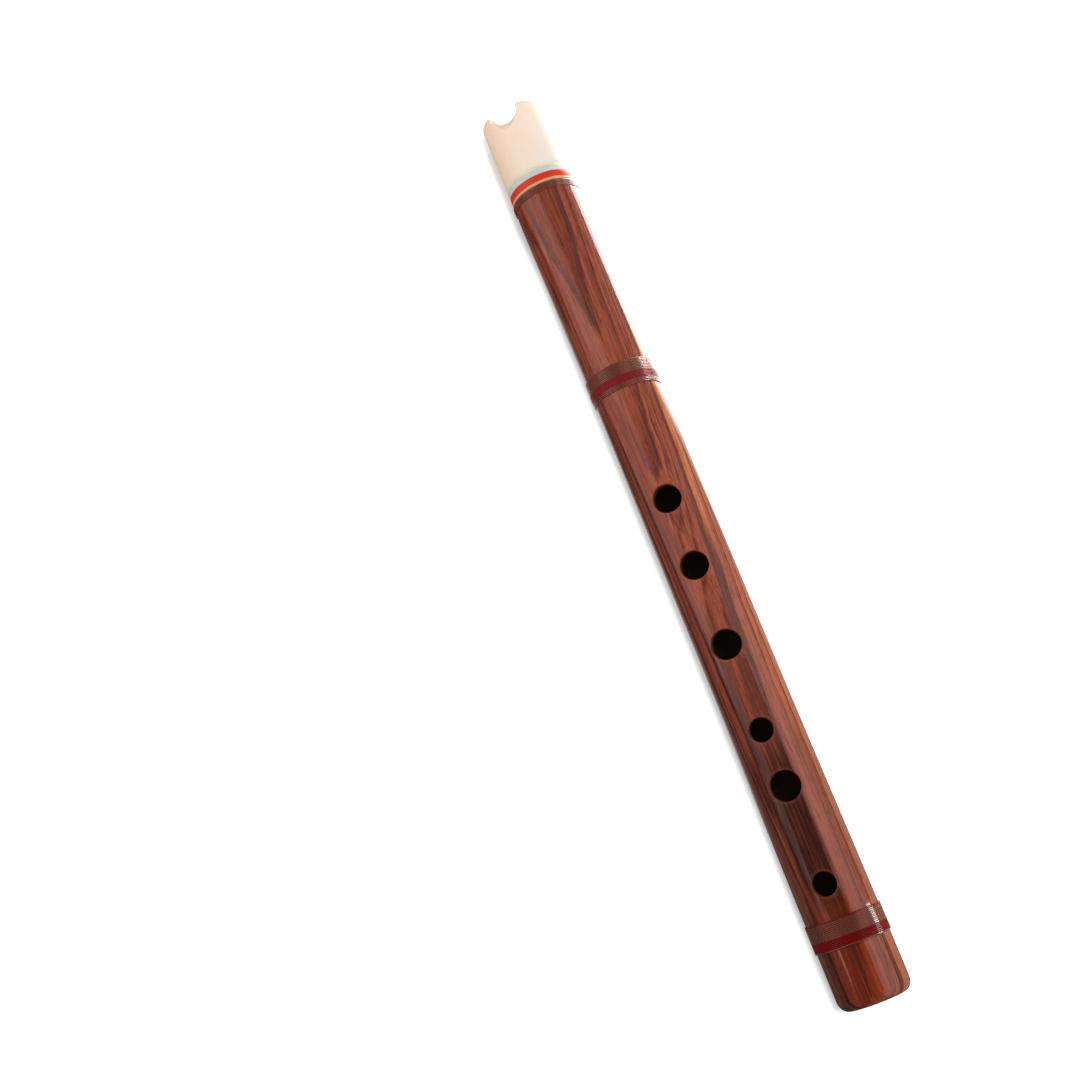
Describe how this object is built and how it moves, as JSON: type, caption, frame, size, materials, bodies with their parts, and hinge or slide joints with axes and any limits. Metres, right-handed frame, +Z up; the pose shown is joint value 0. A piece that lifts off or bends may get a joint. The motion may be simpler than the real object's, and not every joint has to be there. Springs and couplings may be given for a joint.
{
  "type": "quena",
  "caption": "End-blown wooden notch flute with a pale bone mouthpiece, inlaid coloured rings, finger holes, a thumb hole and thread bindings.",
  "frame": {"origin": "on the surface that the flute lies on, under the middle of its length and of its width", "axes": "+X along the flute from the mouthpiece to the foot, +Z up through the line of finger holes"},
  "size_m": [0.384, 0.03, 0.03],
  "materials": {
    "rosewood": "varnished rosewood, satin gloss, long straight grain with dark streaks",
    "bone": "polished pale bone",
    "green_line": "thin pale yellow-green line",
    "silver_grey": "plain silver-grey ring",
    "red_orange": "bright red-orange ring",
    "cream": "thin cream ring",
    "clear_nylon": "clear nylon line over wood, glossy turns",
    "red_thread": "dark red thread under varnish"
  },
  "bodies": {
    "root": {"body_tube": "rosewood", "mouthpiece": "bone", "green_line_ring": "green_line", "silver_ring": "silver_grey", "red_ring": "red_orange", "cream_ring": "cream", "top_binding_nylon": "clear_nylon", "middle_binding_upper_nylon": "clear_nylon", "middle_binding_red_thread": "red_thread", "middle_binding_lower_nylon": "clear_nylon", "lower_binding_first_red_turn": "red_thread", "lower_binding_upper_nylon": "clear_nylon", "lower_binding_red_thread": "red_thread", "lower_binding_lower_nylon": "clear_nylon"}
  },
  "joints": []
}
